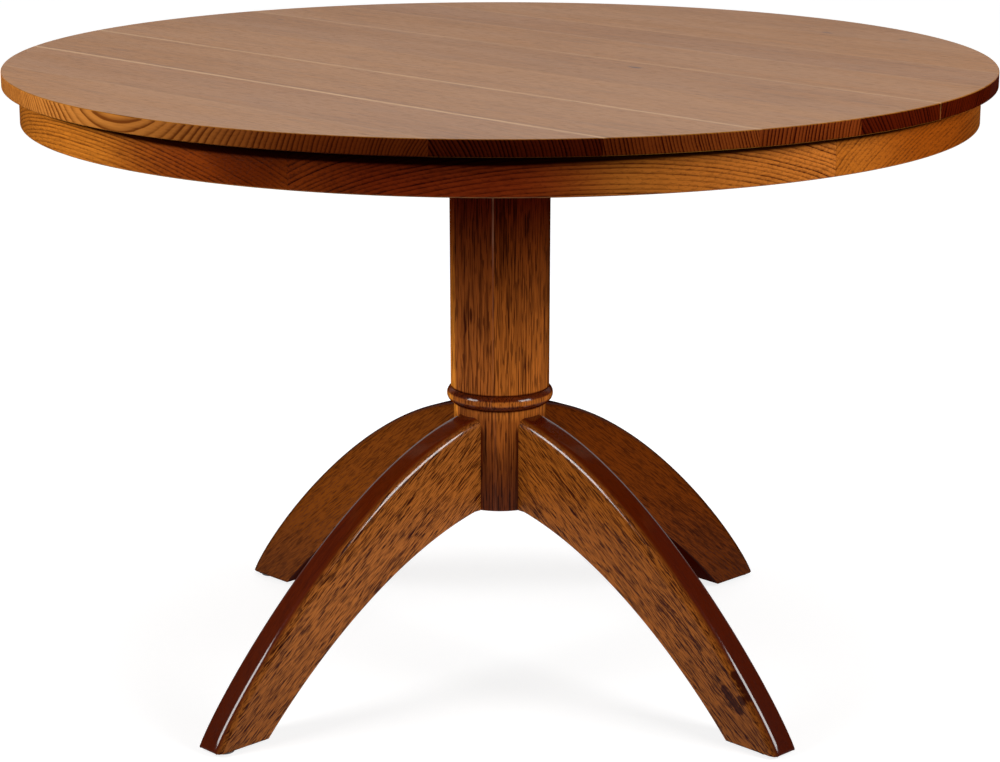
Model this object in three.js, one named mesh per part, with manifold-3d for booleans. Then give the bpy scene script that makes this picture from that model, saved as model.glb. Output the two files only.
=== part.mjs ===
// Round pedestal table. A disc of edge-glued boards stands on a segmented apron ring, two
// crossed bearers, a turned post of three laminations and four curved legs.
// Units are millimetres. +Z is up, the boards run along X, the legs point along the X and Y
// axes, and the origin is on the floor under the middle of the top.
import * as THREE from "three";
import { mergeVertices } from "three/addons/utils/BufferGeometryUtils.js";
import Module from "manifold-3d";

const wasm = await Module();
wasm.setup();

// Top.
const tableHeight = 772;
const topDiameter = 1200;
const topThickness = 19;
const topArris = 1.6; // radius on the rim's upper and lower edges
const innerBoardWidths = [129, 154, 133, 146, 129, 105, 142]; // between the two rim boards
const boardRowStart = -468; // Y of the first glue line
const narrowestBoard = 5;

// Apron: one ring of sawn segments under the top.
const apronSetBack = 20; // from the rim in to the apron's face
const apronHeight = 45;
const apronThickness = 28;
const apronSegmentCount = 6;
const apronFirstJoint = -6.5; // degrees from +X
const apronArris = 1.5;

// Post: hub, bead and shaft turned from one blank of three laminations.
const hubRadius = 58;
const hubBottom = 211;
const hubArris = 2.5;
const beadMiddle = 351.5;
const beadRadius = 67;
const beadHeight = 21;
const quirkDepth = 1; // the groove above and below the bead
const quirkHeight = 1.2;
const shaftFootRadius = 62;
const shaftHeadRadius = 63;
const middleLaminationWidth = 58;
const laminationTurn = 10; // degrees from the board direction to the laminations' stack
const tenonRadius = 25;
const tenonRelief = 0.5; // the tenon stops this far below the boards

// Crossed bearers under the boards.
const bearerWidth = 70;
const bearerDepth = 32;
const bearerEndGap = 4; // from the bearer's end to the apron
const bearerTaperLength = 70;
const bearerTipDepth = 18;

// Legs. Reach is the distance out from the post's axis.
const legCount = 4;
const legThickness = 42;
const legRound = 11; // radius along the two upper edges
const legArris = 1.5; // ease on every other edge
const shoulderTop = 331; // height of the leg's back where it meets the hub
const shoulderReach = 54;
const shoulderSlope = 10.3; // degrees down
const shoulderFullness = 200; // length of the curve's handle
const toeReach = 481;
const toeSlope = 64;
const toeFullness = 60;
const toeEase = 5;
const archReach = 64; // where the arch under the leg starts
const archSlope = 12;
const archFullness = 172;
const heelReach = 403;
const heelSlope = 47;
const heelFullness = 54;

// Sliding dovetails between the legs and the hub.
const dovetailDepth = 16;
const dovetailRootWidth = 26;
const dovetailNeckWidth = 18;
const dovetailHeight = 100;

// Plate that closes the dovetails from below.
const plateRadius = 48;
const plateThickness = 2;
const plateScrewCount = 4;
const plateScrewCircle = 24; // radius
const plateScrewBite = 25;

// Nail-on glides, one under each foot.
const glideRadius = 12;
const glideThickness = 4;
const glideArris = 1;
const glideInset = 23; // from the toe in to the glide's middle
const glideOffset = 5; // from the foot's centre line
const nailRadius = 1.5;
const nailLength = 16;
const nailPoint = 3;

// Wood screws through the bearers into the boards.
const screwHeadRadius = 4;
const screwHeadHeight = 2.5;
const screwHeadCrown = 1.2; // the head's edge slopes in by this much
const screwHeadRim = 1; // height of the head's straight side
const screwShankRadius = 2.1;
const screwPoint = 4;
const screwBite = 13; // into the board
const screwSeat = 15; // wood left under the head
const screwSocketRadius = 5;
const screwEndMargin = 30;
const screwLapMargin = 12;
const alongScrewsPerSide = 2;

// Wedge in the post's tenon.
const wedgeLength = 46;
const wedgeDepth = 24;
const wedgeTopWidth = 3;
const wedgeTipWidth = 0.8;

// Clearances and fineness.
const fitGap = 0.3; // between a piece and the seat cut for it
const cutMargin = 5; // how far a cutting body runs past what it cuts
const roundMargin = 40; // how far the body that rounds a leg's back runs past the leg
const tongueMargin = 2.5; // how far a leg's tongue runs into the leg
const rimFacets = 120;
const postFacets = 60;
const boreFacets = 36;
const glideFacets = 16;
const smallFacets = 12;
const arrisSteps = 2;
const beadSteps = 6;
const legRoundSteps = 4;
const legBackSteps = 20;
const legArchSteps = 14;
const toeEaseSteps = 3;
const weldDistance = 1e-3;

// Heights and places that follow from the sizes above.
const topRadius = topDiameter / 2;
const boardUnderside = tableHeight - topThickness;
const apronOuterRadius = topRadius - apronSetBack;
const apronInnerRadius = apronOuterRadius - apronThickness;
const bearerHalfLength = apronInnerRadius - bearerEndGap;
const bearerUnderside = boardUnderside - bearerDepth;
const lapHeight = boardUnderside - bearerDepth / 2;
const footBottom = glideThickness;
const glideReach = toeReach - glideInset;
const plateTop = hubBottom + plateThickness;
const screwSeatHeight = boardUnderside - screwSeat;

const radians = THREE.MathUtils.degToRad;

// ---- Solids ----

function solid(geometry) {
  geometry.deleteAttribute("normal");
  geometry.deleteAttribute("uv");
  const welded = mergeVertices(geometry, weldDistance);
  const corners = welded.index.array;
  const triVerts = [];
  for (let i = 0; i < corners.length; i += 3) {
    const [a, b, c] = corners.slice(i, i + 3);
    if (a !== b && b !== c && c !== a) triVerts.push(a, b, c);
  }
  const mesh = new wasm.Mesh({
    numProp: 3,
    vertProperties: welded.attributes.position.array,
    triVerts: new Uint32Array(triVerts),
  });
  return new wasm.Manifold(mesh);
}

function node(name, body, material) {
  const faces = body.getMesh();
  const shared = new THREE.BufferGeometry();
  shared.setAttribute("position", new THREE.BufferAttribute(faces.vertProperties, 3));
  shared.setIndex(new THREE.BufferAttribute(faces.triVerts, 1));
  const geometry = shared.toNonIndexed();
  geometry.computeVertexNormals();
  const mesh = new THREE.Mesh(geometry, material);
  mesh.name = name;
  return mesh;
}

function box(x, y, z) {
  const geometry = new THREE.BoxGeometry(x[1] - x[0], y[1] - y[0], z[1] - z[0]);
  geometry.translate((x[0] + x[1]) / 2, (y[0] + y[1]) / 2, (z[0] + z[1]) / 2);
  return solid(geometry);
}

// Profile points are [radius, height], from the bottom up.
function revolve(profile, facets) {
  const points = profile.map(([radius, height]) => new THREE.Vector2(radius, height));
  const geometry = new THREE.LatheGeometry(points, facets);
  geometry.rotateX(Math.PI / 2);
  return solid(geometry);
}

function rod(radius, low, high, facets = smallFacets) {
  return revolve([[0, low], [radius, low], [radius, high], [0, high]], facets);
}

// An outline in plan, raised from low to high.
function prism(outline, low, high) {
  const shape = new THREE.Shape(outline.map(([x, y]) => new THREE.Vector2(x, y)));
  const geometry = new THREE.ExtrudeGeometry(shape, { depth: high - low, bevelEnabled: false });
  geometry.translate(0, 0, low);
  return solid(geometry);
}

// An outline seen from the side, as points of [reach, height], given a width across Y.
// A round above zero is the radius on all its edges.
function slab(outline, width, round, roundSteps) {
  const shape = new THREE.Shape(outline);
  const geometry = new THREE.ExtrudeGeometry(shape, {
    depth: width - 2 * round,
    bevelEnabled: round > 0,
    bevelThickness: round,
    bevelSize: round,
    bevelOffset: -round,
    bevelSegments: roundSteps,
  });
  geometry.translate(0, 0, round - width / 2);
  geometry.rotateX(Math.PI / 2);
  return solid(geometry);
}

function arc(centre, radius, from, to, steps) {
  const points = [];
  for (let i = 0; i <= steps; i++) {
    const angle = radians(from + ((to - from) * i) / steps);
    points.push([centre[0] + radius * Math.cos(angle), centre[1] + radius * Math.sin(angle)]);
  }
  return points;
}

// ---- Finishes ----

function finish(color, roughness, metalness) {
  return new THREE.MeshStandardMaterial({ color, roughness, metalness });
}

const boardFinish = finish(0x9a6a44, 0.35, 0);
const apronFinish = finish(0x9c5a22, 0.4, 0);
const postFinish = finish(0x6e3a18, 0.4, 0);
const legFinish = finish(0x7a4520, 0.4, 0);
const bearerFinish = finish(0xb58a5c, 0.7, 0);
const screwFinish = finish(0xb8b4a8, 0.35, 1);
const plateFinish = finish(0x8c8c90, 0.45, 1);
const glideFinish = finish(0x9a9a9c, 0.4, 1);

// ---- Top ----

// Y limits of each board, from the rim board at -Y to the rim board at +Y.
function boardLimits() {
  const seams = [boardRowStart];
  for (const width of innerBoardWidths) seams.push(seams.at(-1) + width);
  const inside = seams.filter((y) => Math.abs(y) < topRadius - narrowestBoard);
  const edges = [-topRadius, ...inside, topRadius];
  return edges.slice(1).map((high, i) => [edges[i], high]);
}

function topDisc() {
  const profile = [
    [0, boardUnderside],
    ...arc([topRadius - topArris, boardUnderside + topArris], topArris, -90, 0, arrisSteps),
    ...arc([topRadius - topArris, tableHeight - topArris], topArris, 0, 90, arrisSteps),
    [0, tableHeight],
  ];
  return revolve(profile, rimFacets);
}

function topBoards(screwPlaces) {
  const disc = topDisc();
  const boards = boardLimits().map(([low, high], i) => {
    const across = [-topRadius - cutMargin, topRadius + cutMargin];
    const height = [boardUnderside - cutMargin, tableHeight + cutMargin];
    let board = disc.intersect(box(across, [low, high], height));
    for (const [x, y] of screwPlaces) {
      if (y < low || y > high) continue;
      const pilotTop = boardUnderside + screwBite + fitGap;
      const pilot = rod(screwShankRadius + fitGap, boardUnderside - cutMargin, pilotTop);
      board = board.subtract(pilot.translate([x, y, 0]));
    }
    return node(`top_board_${i + 1}`, board, boardFinish);
  });
  return boards;
}

// ---- Apron ----

function apronRing() {
  const low = boardUnderside - apronHeight;
  const profile = [
    [apronInnerRadius, low],
    ...arc([apronOuterRadius - apronArris, low + apronArris], apronArris, -90, 0, arrisSteps),
    [apronOuterRadius, boardUnderside],
    [apronInnerRadius, boardUnderside],
    [apronInnerRadius, low],
  ];
  return revolve(profile, rimFacets);
}

// The plan wedge between two butt joints, half a glue gap in from each.
function apronWedge(startAngle) {
  const span = 360 / apronSegmentCount;
  const tip = fitGap / 2 / Math.sin(radians(span / 2));
  const reach = topDiameter;
  const middle = radians(startAngle + span / 2);
  const apex = [tip * Math.cos(middle), tip * Math.sin(middle)];
  const corner = (degrees) => [
    apex[0] + reach * Math.cos(radians(degrees)),
    apex[1] + reach * Math.sin(radians(degrees)),
  ];
  return prism(
    [apex, corner(startAngle), corner(startAngle + span)],
    boardUnderside - apronHeight - cutMargin,
    boardUnderside + cutMargin,
  );
}

function apronSegments() {
  const ring = apronRing();
  const segments = [];
  for (let i = 0; i < apronSegmentCount; i++) {
    const wedge = apronWedge(apronFirstJoint + (i * 360) / apronSegmentCount);
    segments.push(node(`apron_segment_${i + 1}`, ring.intersect(wedge), apronFinish));
  }
  return segments;
}

// ---- Bearers and their screws ----

// Distances from the middle of the screws in the bearer across the boards: one under the
// middle of each board's rest on the bearer, where the lap leaves room.
function acrossScrewPlaces() {
  const clearOfLap = bearerWidth / 2 + screwLapMargin;
  return boardLimits()
    .map(([low, high]) => [Math.max(low, -bearerHalfLength), Math.min(high, bearerHalfLength)])
    .filter(([low, high]) => high - low > 2 * screwSocketRadius)
    .map(([low, high]) => (low + high) / 2)
    .filter((y) => Math.abs(y) > clearOfLap);
}

function alongScrewPlaces() {
  const inner = bearerWidth / 2 + screwLapMargin;
  const span = bearerHalfLength - screwEndMargin - inner;
  const places = [];
  for (let i = 0; i < alongScrewsPerSide; i++) {
    const x = inner + (span * (i + 1)) / alongScrewsPerSide - span / (2 * alongScrewsPerSide);
    places.push(-x, x);
  }
  return places.sort((a, b) => a - b);
}

// A bearer lies along X, with both ends tapered below and its screw holes cut.
function bearer(places) {
  const flat = bearerHalfLength - bearerTaperLength;
  const tipUnderside = boardUnderside - bearerTipDepth;
  const outline = [
    new THREE.Vector2(-bearerHalfLength, boardUnderside),
    new THREE.Vector2(-bearerHalfLength, tipUnderside),
    new THREE.Vector2(-flat, bearerUnderside),
    new THREE.Vector2(flat, bearerUnderside),
    new THREE.Vector2(bearerHalfLength, tipUnderside),
    new THREE.Vector2(bearerHalfLength, boardUnderside),
  ];
  let body = slab(outline, bearerWidth, 0, 0);
  const top = boardUnderside + cutMargin;
  const hole = rod(tenonRadius + fitGap, bearerUnderside - cutMargin, top, boreFacets);
  body = body.subtract(hole);
  for (const x of places) {
    const socket = rod(screwSocketRadius, bearerUnderside - cutMargin, screwSeatHeight);
    const shank = rod(screwShankRadius + fitGap, bearerUnderside, top);
    body = body.subtract(socket.add(shank).translate([x, 0, 0]));
  }
  return body;
}

function bearerAcrossBoards() {
  const reach = bearerWidth / 2 + fitGap;
  const low = bearerUnderside - cutMargin;
  const lap = box([-reach, reach], [-bearerWidth, bearerWidth], [low, lapHeight]);
  const mesh = node("bearer_across_boards", bearer(acrossScrewPlaces()).subtract(lap), bearerFinish);
  mesh.rotation.z = Math.PI / 2;
  return mesh;
}

function bearerAlongBoards() {
  const reach = bearerWidth / 2 + fitGap;
  const high = boardUnderside + cutMargin;
  const lap = box([-reach, reach], [-bearerWidth, bearerWidth], [lapHeight, high]);
  return node("bearer_along_boards", bearer(alongScrewPlaces()).subtract(lap), bearerFinish);
}

// A screw points up, with its head's underside at height zero.
function screw(bite, point) {
  return revolve(
    [
      [0, -screwHeadHeight],
      [screwHeadRadius - screwHeadCrown, -screwHeadHeight],
      [screwHeadRadius, -screwHeadRim],
      [screwHeadRadius, 0],
      [screwShankRadius, 0],
      [screwShankRadius, bite - point],
      [0, bite],
    ],
    smallFacets,
  );
}

function boardScrews(places) {
  const body = screw(screwSeat + screwBite, screwPoint);
  return places.map(([x, y], i) => {
    const mesh = node(`board_screw_${i + 1}`, body, screwFinish);
    mesh.position.set(x, y, screwSeatHeight);
    return mesh;
  });
}

// ---- Post ----

function postBlank() {
  const beadCentre = beadRadius - beadHeight / 2;
  const beadArc = beadHeight / 2;
  const neckAngle = THREE.MathUtils.radToDeg(Math.acos((hubRadius - beadCentre) / beadArc));
  const shaftAngle = THREE.MathUtils.radToDeg(Math.acos((shaftFootRadius - beadCentre) / beadArc));
  const beadLow = beadMiddle - beadArc * Math.sin(radians(neckAngle));
  const beadHigh = beadMiddle + beadArc * Math.sin(radians(shaftAngle));
  const tenonTop = boardUnderside - tenonRelief;
  const profile = [
    [0, hubBottom],
    ...arc([hubRadius - hubArris, hubBottom + hubArris], hubArris, -90, 0, arrisSteps),
    [hubRadius, beadLow - quirkHeight],
    [hubRadius - quirkDepth, beadLow],
    ...arc([beadCentre, beadMiddle], beadArc, -neckAngle, shaftAngle, beadSteps),
    [shaftFootRadius - quirkDepth, beadHigh],
    [shaftFootRadius, beadHigh + quirkHeight],
    [shaftHeadRadius, bearerUnderside],
    [tenonRadius, bearerUnderside],
    [tenonRadius, tenonTop],
    [0, tenonTop],
  ];
  return revolve(profile, postFacets);
}

// The dovetail's plan, widest at its root in the hub. grow is the slot's clearance.
function dovetail(neckReach, grow) {
  const rootReach = hubRadius - dovetailDepth - grow;
  const flare = (dovetailRootWidth - dovetailNeckWidth) / 2 / dovetailDepth;
  const root = dovetailRootWidth / 2 + grow;
  const neck = root - flare * (neckReach - rootReach);
  return [
    [rootReach, -root],
    [neckReach, -neck],
    [neckReach, neck],
    [rootReach, root],
  ];
}

// The tapered wedge, flush with the tenon's top. grow is the kerf's clearance.
function wedgeShape(length, grow) {
  const top = boardUnderside - tenonRelief;
  const outline = [
    new THREE.Vector2(-wedgeTopWidth / 2 - grow, top),
    new THREE.Vector2(-wedgeTipWidth / 2 - grow, top - wedgeDepth - grow),
    new THREE.Vector2(wedgeTipWidth / 2 + grow, top - wedgeDepth - grow),
    new THREE.Vector2(wedgeTopWidth / 2 + grow, top),
  ];
  return slab(outline, length, 0, 0);
}

function postCuts(blank) {
  let body = blank.subtract(rod(plateRadius + fitGap, 0, plateTop, postFacets));
  const slotOutline = dovetail(hubRadius + cutMargin, fitGap);
  const slot = prism(slotOutline, 0, plateTop + dovetailHeight + fitGap);
  for (let i = 0; i < legCount; i++) {
    body = body.subtract(slot.rotate([0, 0, (i * 360) / legCount]));
  }
  for (const [x, y] of plateScrewPlaces()) {
    const pilot = rod(screwShankRadius + fitGap, 0, plateTop + plateScrewBite + fitGap);
    body = body.subtract(pilot.translate([x, y, 0]));
  }
  return body.subtract(wedgeShape(2 * (tenonRadius + cutMargin), fitGap));
}

// The blank's laminations stack along X before the whole stack is turned.
function postLaminations() {
  const body = postCuts(postBlank());
  const seam = middleLaminationWidth / 2;
  const far = beadRadius + cutMargin;
  const layers = [
    ["post_lamination_left", [-far, -seam - fitGap / 2]],
    ["post_lamination_middle", [-seam + fitGap / 2, seam - fitGap / 2]],
    ["post_lamination_right", [seam + fitGap / 2, far]],
  ];
  return layers.map(([name, limits]) => {
    const layer = box(limits, [-far, far], [0, tableHeight]).rotate([0, 0, laminationTurn]);
    return node(name, body.intersect(layer), postFinish);
  });
}

function tenonWedge() {
  return node("tenon_wedge", wedgeShape(wedgeLength, 0), bearerFinish);
}

// ---- Plate under the hub ----

function plateScrewPlaces() {
  const places = [];
  for (let i = 0; i < plateScrewCount; i++) {
    const angle = radians(((i + 0.5) * 360) / plateScrewCount);
    places.push([plateScrewCircle * Math.cos(angle), plateScrewCircle * Math.sin(angle)]);
  }
  return places;
}

function basePlate() {
  let body = rod(plateRadius, hubBottom, plateTop, postFacets);
  for (const [x, y] of plateScrewPlaces()) {
    const hole = rod(screwShankRadius + fitGap, hubBottom - cutMargin, plateTop + cutMargin);
    body = body.subtract(hole.translate([x, y, 0]));
  }
  return node("base_plate", body, plateFinish);
}

function plateScrews() {
  const body = screw(plateThickness + plateScrewBite, screwPoint);
  return plateScrewPlaces().map(([x, y], i) => {
    const mesh = node(`plate_screw_${i + 1}`, body, screwFinish);
    mesh.position.set(x, y, hubBottom);
    return mesh;
  });
}

// ---- Legs ----

// A curve between two points that leaves and arrives at the given downward slopes.
function sweep(start, startSlope, startFullness, end, endSlope, endFullness) {
  const along = (slope) => new THREE.Vector2(Math.cos(radians(slope)), -Math.sin(radians(slope)));
  return new THREE.CubicBezierCurve(
    start,
    along(startSlope).multiplyScalar(startFullness).add(start),
    along(endSlope).multiplyScalar(-endFullness).add(end),
    end,
  );
}

function legBack() {
  const shoulder = new THREE.Vector2(shoulderReach, shoulderTop);
  const toe = new THREE.Vector2(toeReach, footBottom);
  return sweep(shoulder, shoulderSlope, shoulderFullness, toe, toeSlope, toeFullness);
}

function legArch() {
  const start = new THREE.Vector2(archReach, hubBottom);
  const heel = new THREE.Vector2(heelReach, footBottom);
  return sweep(start, archSlope, archFullness, heel, heelSlope, heelFullness);
}

// The leg from the side: flat shoulder, arch, heel, toe and back.
function legOutline() {
  const back = legBack().getPoints(legBackSteps);
  const inner = hubRadius - dovetailDepth;
  const rise = (shoulderReach - inner) * Math.tan(radians(shoulderSlope));
  const toe = new THREE.Vector2(toeReach, footBottom);
  const backAboveToe = back.filter((p) => p.distanceTo(toe) > toeEase);
  const easeStart = new THREE.Vector2(toeReach - toeEase, footBottom);
  const easeEnd = toe.clone().lerp(back.at(-2), toeEase / toe.distanceTo(back.at(-2)));
  const ease = new THREE.QuadraticBezierCurve(easeStart, toe, easeEnd);
  return [
    new THREE.Vector2(inner, hubBottom),
    ...legArch().getPoints(legArchSteps),
    ...ease.getPoints(toeEaseSteps),
    ...backAboveToe.reverse(),
    new THREE.Vector2(inner, shoulderTop + rise),
  ];
}

// The same back on a deeper body that runs past both ends, so that only the back is rounded.
function legRoundOutline() {
  const back = legBack().getPoints(legBackSteps);
  const inner = hubRadius - dovetailDepth - roundMargin;
  const rise = (shoulderReach - inner) * Math.tan(radians(shoulderSlope));
  const run = roundMargin / Math.tan(radians(toeSlope));
  const low = footBottom - roundMargin;
  return [
    new THREE.Vector2(inner, low),
    new THREE.Vector2(toeReach + run, low),
    ...back.reverse(),
    new THREE.Vector2(inner, shoulderTop + rise),
  ];
}

function legBody() {
  const outer = slab(legOutline(), legThickness, legArris, arrisSteps);
  const rounded = slab(legRoundOutline(), legThickness, legRound, legRoundSteps);
  const hub = rod(hubRadius + fitGap, 0, tableHeight, postFacets);
  const tongueOutline = dovetail(hubRadius + tongueMargin, 0);
  const tongue = prism(tongueOutline, plateTop, plateTop + dovetailHeight);
  const nailTop = footBottom + nailLength + fitGap;
  const nailHole = rod(nailRadius + fitGap, 0, nailTop).translate([glideReach, glideOffset, 0]);
  return outer.intersect(rounded).subtract(hub).add(tongue).subtract(nailHole);
}

// A glide stands on the floor, with its nail up.
function glide() {
  const nailTop = glideThickness + nailLength;
  return revolve(
    [
      [0, 0],
      ...arc([glideRadius - glideArris, glideArris], glideArris, -90, 0, arrisSteps),
      ...arc([glideRadius - glideArris, glideThickness - glideArris], glideArris, 0, 90, arrisSteps),
      [nailRadius, glideThickness],
      [nailRadius, nailTop - nailPoint],
      [0, nailTop],
    ],
    glideFacets,
  );
}

function legs() {
  const body = legBody();
  const glideBody = glide();
  const set = [];
  for (let i = 0; i < legCount; i++) {
    const unit = new THREE.Group();
    unit.rotation.z = (i * 2 * Math.PI) / legCount;
    const glideMesh = node(`glide_${i + 1}`, glideBody, glideFinish);
    glideMesh.position.set(glideReach, glideOffset, 0);
    unit.add(node(`leg_${i + 1}`, body, legFinish), glideMesh);
    set.push(unit);
  }
  return set;
}

// ---- Table ----

const screwPlaces = [
  ...acrossScrewPlaces().map((y) => [0, y]),
  ...alongScrewPlaces().map((x) => [x, 0]),
];

const table = new THREE.Group();
table.add(...topBoards(screwPlaces));
table.add(...apronSegments());
table.add(bearerAcrossBoards(), bearerAlongBoards());
table.add(...boardScrews(screwPlaces));
table.add(...postLaminations(), tenonWedge());
table.add(basePlate(), ...plateScrews());
table.add(...legs());

export default table;
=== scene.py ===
"""Round pedestal table in stained, lacquered hardwood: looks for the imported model.

Units are metres. +Z is up, the boards of the top run along X, and the legs point along X and Y.
The wood and the glides that show are rebuilt with fine round surfaces in the place of their CAD
nodes; the hidden pieces keep theirs. Every wood is one solid pattern of growth rings, so that a
long face, an end and a curved face of the same piece agree.
"""
import math
from collections import namedtuple

import bmesh
import bpy
from mathutils import Matrix, Vector

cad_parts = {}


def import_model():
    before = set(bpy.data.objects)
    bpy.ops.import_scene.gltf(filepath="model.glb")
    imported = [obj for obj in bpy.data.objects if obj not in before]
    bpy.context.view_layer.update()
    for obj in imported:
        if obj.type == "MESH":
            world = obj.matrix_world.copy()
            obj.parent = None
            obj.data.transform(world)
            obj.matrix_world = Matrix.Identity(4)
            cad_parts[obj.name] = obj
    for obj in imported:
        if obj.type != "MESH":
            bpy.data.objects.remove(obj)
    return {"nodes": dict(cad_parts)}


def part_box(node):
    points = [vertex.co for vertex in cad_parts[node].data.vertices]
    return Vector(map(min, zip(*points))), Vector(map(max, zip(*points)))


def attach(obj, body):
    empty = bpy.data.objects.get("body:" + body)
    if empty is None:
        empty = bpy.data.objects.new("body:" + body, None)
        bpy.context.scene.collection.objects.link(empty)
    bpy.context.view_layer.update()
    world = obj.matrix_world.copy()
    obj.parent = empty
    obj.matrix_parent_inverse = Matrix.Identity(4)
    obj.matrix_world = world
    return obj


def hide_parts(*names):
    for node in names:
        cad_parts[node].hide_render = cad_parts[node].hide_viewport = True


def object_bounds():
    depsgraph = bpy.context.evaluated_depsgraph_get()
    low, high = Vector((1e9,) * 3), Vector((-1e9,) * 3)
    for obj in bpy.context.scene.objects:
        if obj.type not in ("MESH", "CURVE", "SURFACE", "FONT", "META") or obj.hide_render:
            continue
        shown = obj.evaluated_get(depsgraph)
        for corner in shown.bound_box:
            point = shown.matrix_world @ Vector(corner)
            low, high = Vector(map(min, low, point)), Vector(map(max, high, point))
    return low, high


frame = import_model()
cad_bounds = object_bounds()

# ---- Sizes ----

BODY = "root"
top_radius = cad_bounds[1].x
board_low, board_high = (corner.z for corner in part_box("top_board_5"))
top_arris = 0.0016
rim_steps = 720

apron_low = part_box("apron_segment_1")[0].z
apron_arris = 0.0015

hub_radius = 0.058
hub_arris = 0.0025
hub_bottom, tenon_top = (corner.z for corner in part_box("post_lamination_middle"))
shaft_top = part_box("post_lamination_left")[1].z
bead_middle = 0.3515
bead_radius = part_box("post_lamination_middle")[1].y
bead_height = 0.021
quirk_depth = 0.001
quirk_height = 0.0012
shaft_foot_radius = 0.062
shaft_head_radius = 0.063
tenon_radius = 0.025
lamination_seam = 0.029  # from the axis to either glue line
lamination_turn = math.radians(10)
post_steps = 256

leg_width = 0.042
leg_round = 0.011
leg_arris = 0.0015
foot_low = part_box("leg_1")[0].z
shoulder = (0.054, 0.331)
shoulder_slope, shoulder_fullness = 10.3, 0.200
toe = (0.481, foot_low)
toe_slope, toe_fullness = 64, 0.060
arch_start = (0.064, hub_bottom)
arch_slope, arch_fullness = 12, 0.172
heel = (0.403, foot_low)
heel_slope, heel_fullness = 47, 0.054
toe_ease = 0.003
leg_stations = 72
leg_grain_fall = math.radians(37.4)  # from level down to the run of the grain

dovetail_depth = 0.016
dovetail_root_width = 0.026
dovetail_neck_width = 0.018
dovetail_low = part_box("base_plate")[1].z
dovetail_high = dovetail_low + 0.100
slot_overrun = 0.005  # a slot's cutter past the hub's face
tongue_overlap = 0.0025  # a tongue's run into its leg
fit_gap = 0.0003

SHARP_ANGLE = math.radians(35)  # an edge that turns more is shaded sharp
ON_PLANE = 1e-6  # a corner nearer than this lies on the plane
LEVEL_NORMAL = 0.9999  # a face whose normal stands more upright than this is level


# ---- Mesh helpers ----

def arc(centre, radius, start, end, steps):
    """Points of an arc as (radius, height), with its angles in degrees from the level."""
    points = []
    for i in range(steps + 1):
        angle = math.radians(start + (end - start) * i / steps)
        points.append((centre[0] + radius * math.cos(angle), centre[1] + radius * math.sin(angle)))
    return points


def skinned(loops, ring=False):
    """A body over loops of as many corners each. Its ends are closed, or joined for a ring."""
    bm = bmesh.new()
    rows = [[bm.verts.new(corner) for corner in loop] for loop in loops]
    pairs = list(zip(rows, rows[1:]))
    if ring:
        pairs.append((rows[-1], rows[0]))
    for first, second in pairs:
        for i, corner in enumerate(first):
            j = (i + 1) % len(first)
            bm.faces.new((corner, first[j], second[j], second[i]))
    if not ring:
        bm.faces.new(reversed(rows[0]))
        bm.faces.new(rows[-1])
    bmesh.ops.recalc_face_normals(bm, faces=bm.faces[:])
    return bm


def lathe(profile, steps, ring=False):
    """A turned body, with flat ends or as a ring. The profile is (radius, height), upward."""
    turns = [2 * math.pi * i / steps for i in range(steps)]
    around = [(math.cos(turn), math.sin(turn)) for turn in turns]
    loops = [[(radius * x, radius * y, height) for x, y in around] for radius, height in profile]
    return skinned(loops, ring)


def prism(outline, low, high):
    """An outline in plan, raised from low to high."""
    return skinned([[(x, y, height) for x, y in outline] for height in (low, high)])


def cut_away(bm, point, normal):
    """Takes off what lies on the normal's side of a plane, and closes the cut."""
    everything = bm.verts[:] + bm.edges[:] + bm.faces[:]
    bmesh.ops.bisect_plane(
        bm, geom=everything, dist=1e-7, plane_co=point, plane_no=normal, clear_outer=True
    )
    open_edges = [edge for edge in bm.edges if edge.is_boundary]
    bmesh.ops.holes_fill(bm, edges=open_edges, sides=0)
    bmesh.ops.recalc_face_normals(bm, faces=bm.faces[:])


def loose(bm, name="cutter"):
    """An object that stands for no CAD node."""
    mesh = bpy.data.meshes.new(name)
    bm.to_mesh(mesh)
    bm.free()
    made = bpy.data.objects.new(name, mesh)
    bpy.context.scene.collection.objects.link(made)
    return made


def combined(bm, others):
    """Joins or cuts a body with others, given as (operation, body)."""
    body = loose(bm, "body")
    helpers = []
    for operation, other in others:
        helper = loose(other)
        helpers.append(helper)
        step = body.modifiers.new("step", "BOOLEAN")
        step.operation = operation
        step.solver = "EXACT"
        step.object = helper
    evaluated = body.evaluated_get(bpy.context.evaluated_depsgraph_get())
    result = bmesh.new()
    result.from_mesh(evaluated.to_mesh())
    evaluated.to_mesh_clear()
    for extra in [body, *helpers]:
        mesh = extra.data
        bpy.data.objects.remove(extra)
        bpy.data.meshes.remove(mesh)
    return result


def piece(name, bm, material, node, turn=0.0):
    """A finished piece that stands for one CAD node, smooth but on level faces and at edges."""
    mesh = bpy.data.meshes.new(name)
    bm.to_mesh(mesh)
    bm.free()
    for face in mesh.polygons:
        face.use_smooth = True
    mesh.set_sharp_from_angle(angle=SHARP_ANGLE)
    for face in mesh.polygons:
        face.use_smooth = abs(face.normal.z) < LEVEL_NORMAL
    mesh.materials.append(material)
    made = bpy.data.objects.new(name, mesh)
    bpy.context.scene.collection.objects.link(made)
    made.rotation_euler.z = turn
    bpy.context.view_layer.update()
    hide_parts(node)
    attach(made, BODY)
    return made


# ---- Material helpers ----

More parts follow.
